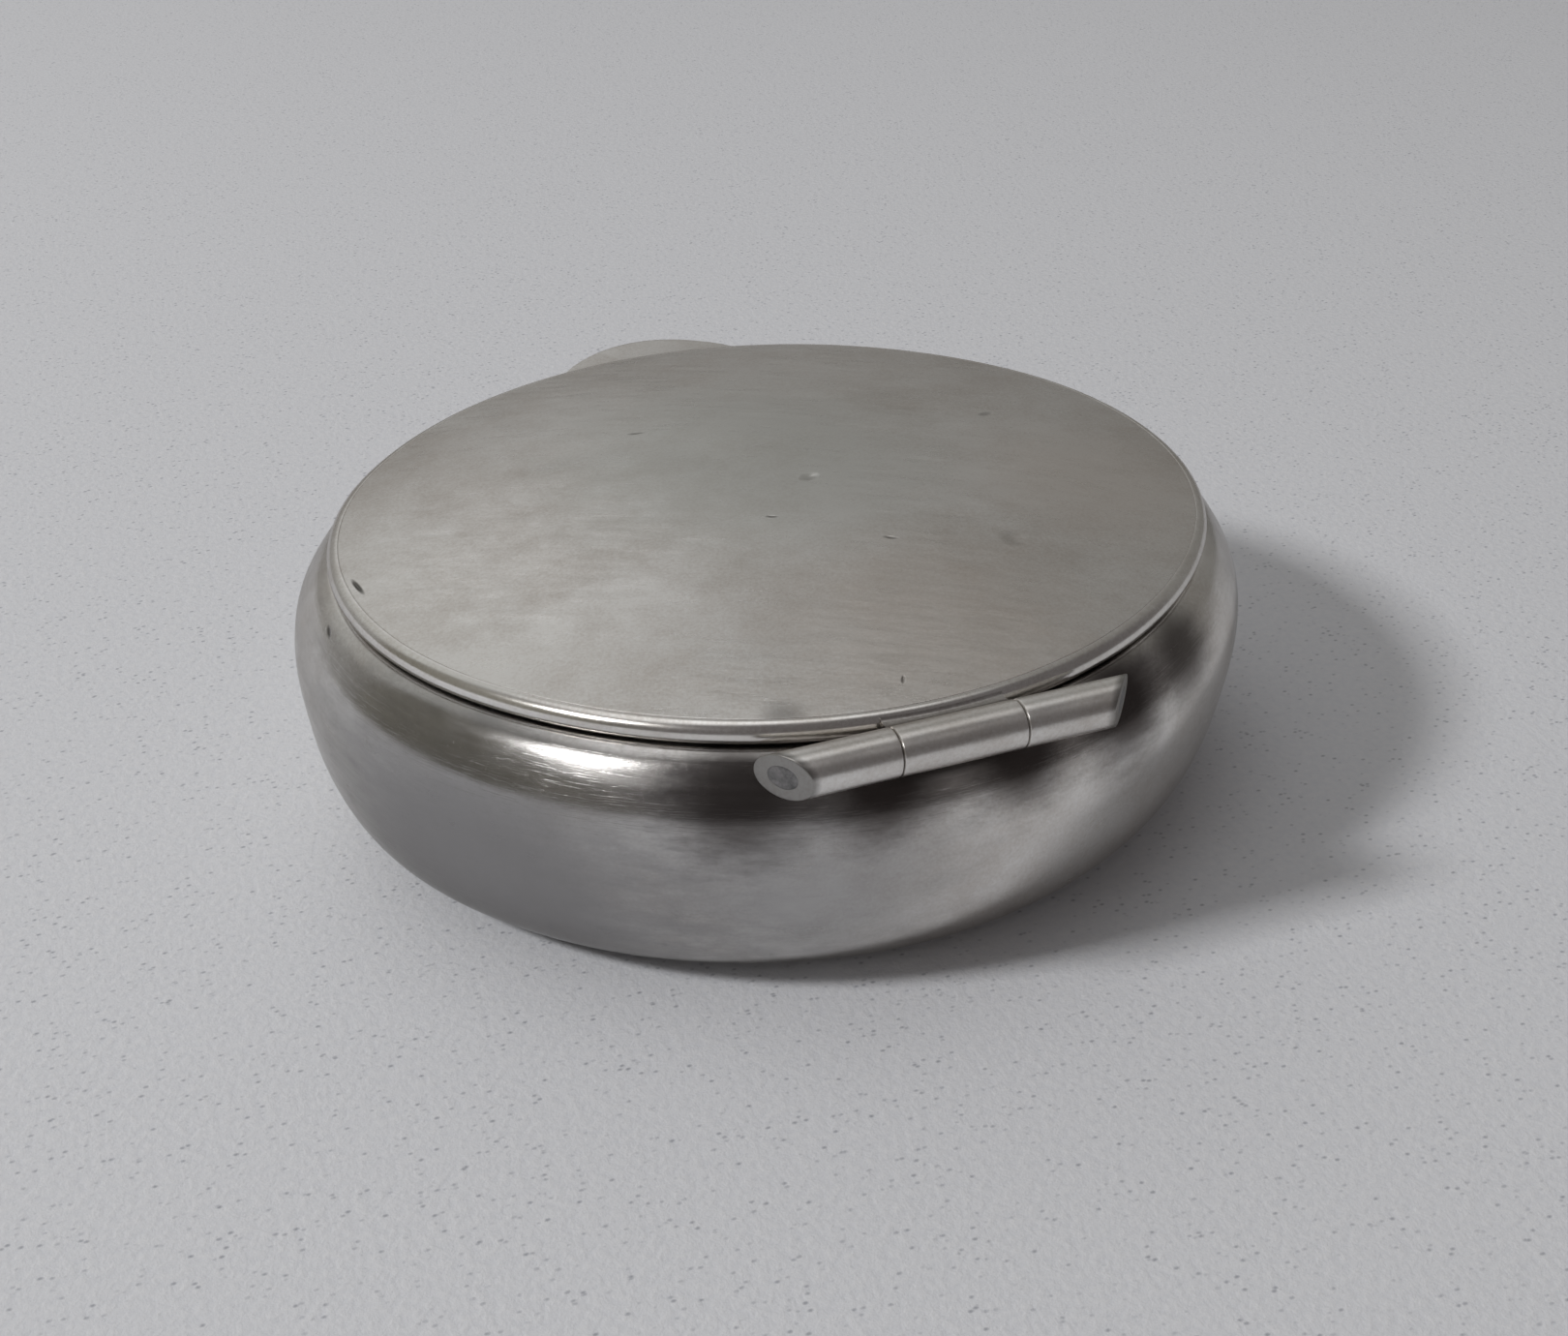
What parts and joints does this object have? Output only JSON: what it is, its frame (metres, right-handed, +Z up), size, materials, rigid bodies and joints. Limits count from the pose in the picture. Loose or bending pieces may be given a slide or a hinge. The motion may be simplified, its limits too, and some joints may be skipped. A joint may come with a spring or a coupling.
{
  "type": "pill box",
  "caption": "Oval bombe silver pill box with a gently domed lid in a rounded rim band, an outside tube hinge at the back and a crescent thumbpiece at the front.",
  "frame": {"origin": "centre of the flat base, on the surface that the box stands on", "axes": "+X along the hinge and the long side, +Y towards the hinge at the back, +Z up; the thumbpiece faces -Y"},
  "size_m": [0.045, 0.041, 0.0147],
  "materials": {
    "body_silver": "old sterling silver, polished and then dulled by handling, fine wiping scratches and faint warm tarnish",
    "lid_silver": "old sterling silver, satin from wear, cloudy bloom, wiping scratches and small dents",
    "rim_silver": "worn bright silver",
    "hinge_silver": "polished silver tube with long drawing lines",
    "pin_wire": "filed silver wire ends, dulled",
    "inner_silver": "plain silver inside the box"
  },
  "bodies": {
    "box": {"body_bowl": "body_silver", "body_shoulder": "body_silver", "mouth_collar": "inner_silver", "hinge_knuckle_left": "hinge_silver", "hinge_knuckle_right": "hinge_silver", "hinge_pin": "pin_wire"},
    "lid": {"lid_plate": "lid_silver", "lid_rim": "rim_silver", "hinge_knuckle_centre": "hinge_silver", "thumbpiece": "lid_silver"}
  },
  "joints": [
    {"name": "lid_hinge", "type": "hinge", "parent": "box", "child": "lid", "pos_m": [0, 0.01965, 0.01235], "axis": [-1, 0, 0], "range_deg": [0, 195]}
  ]
}
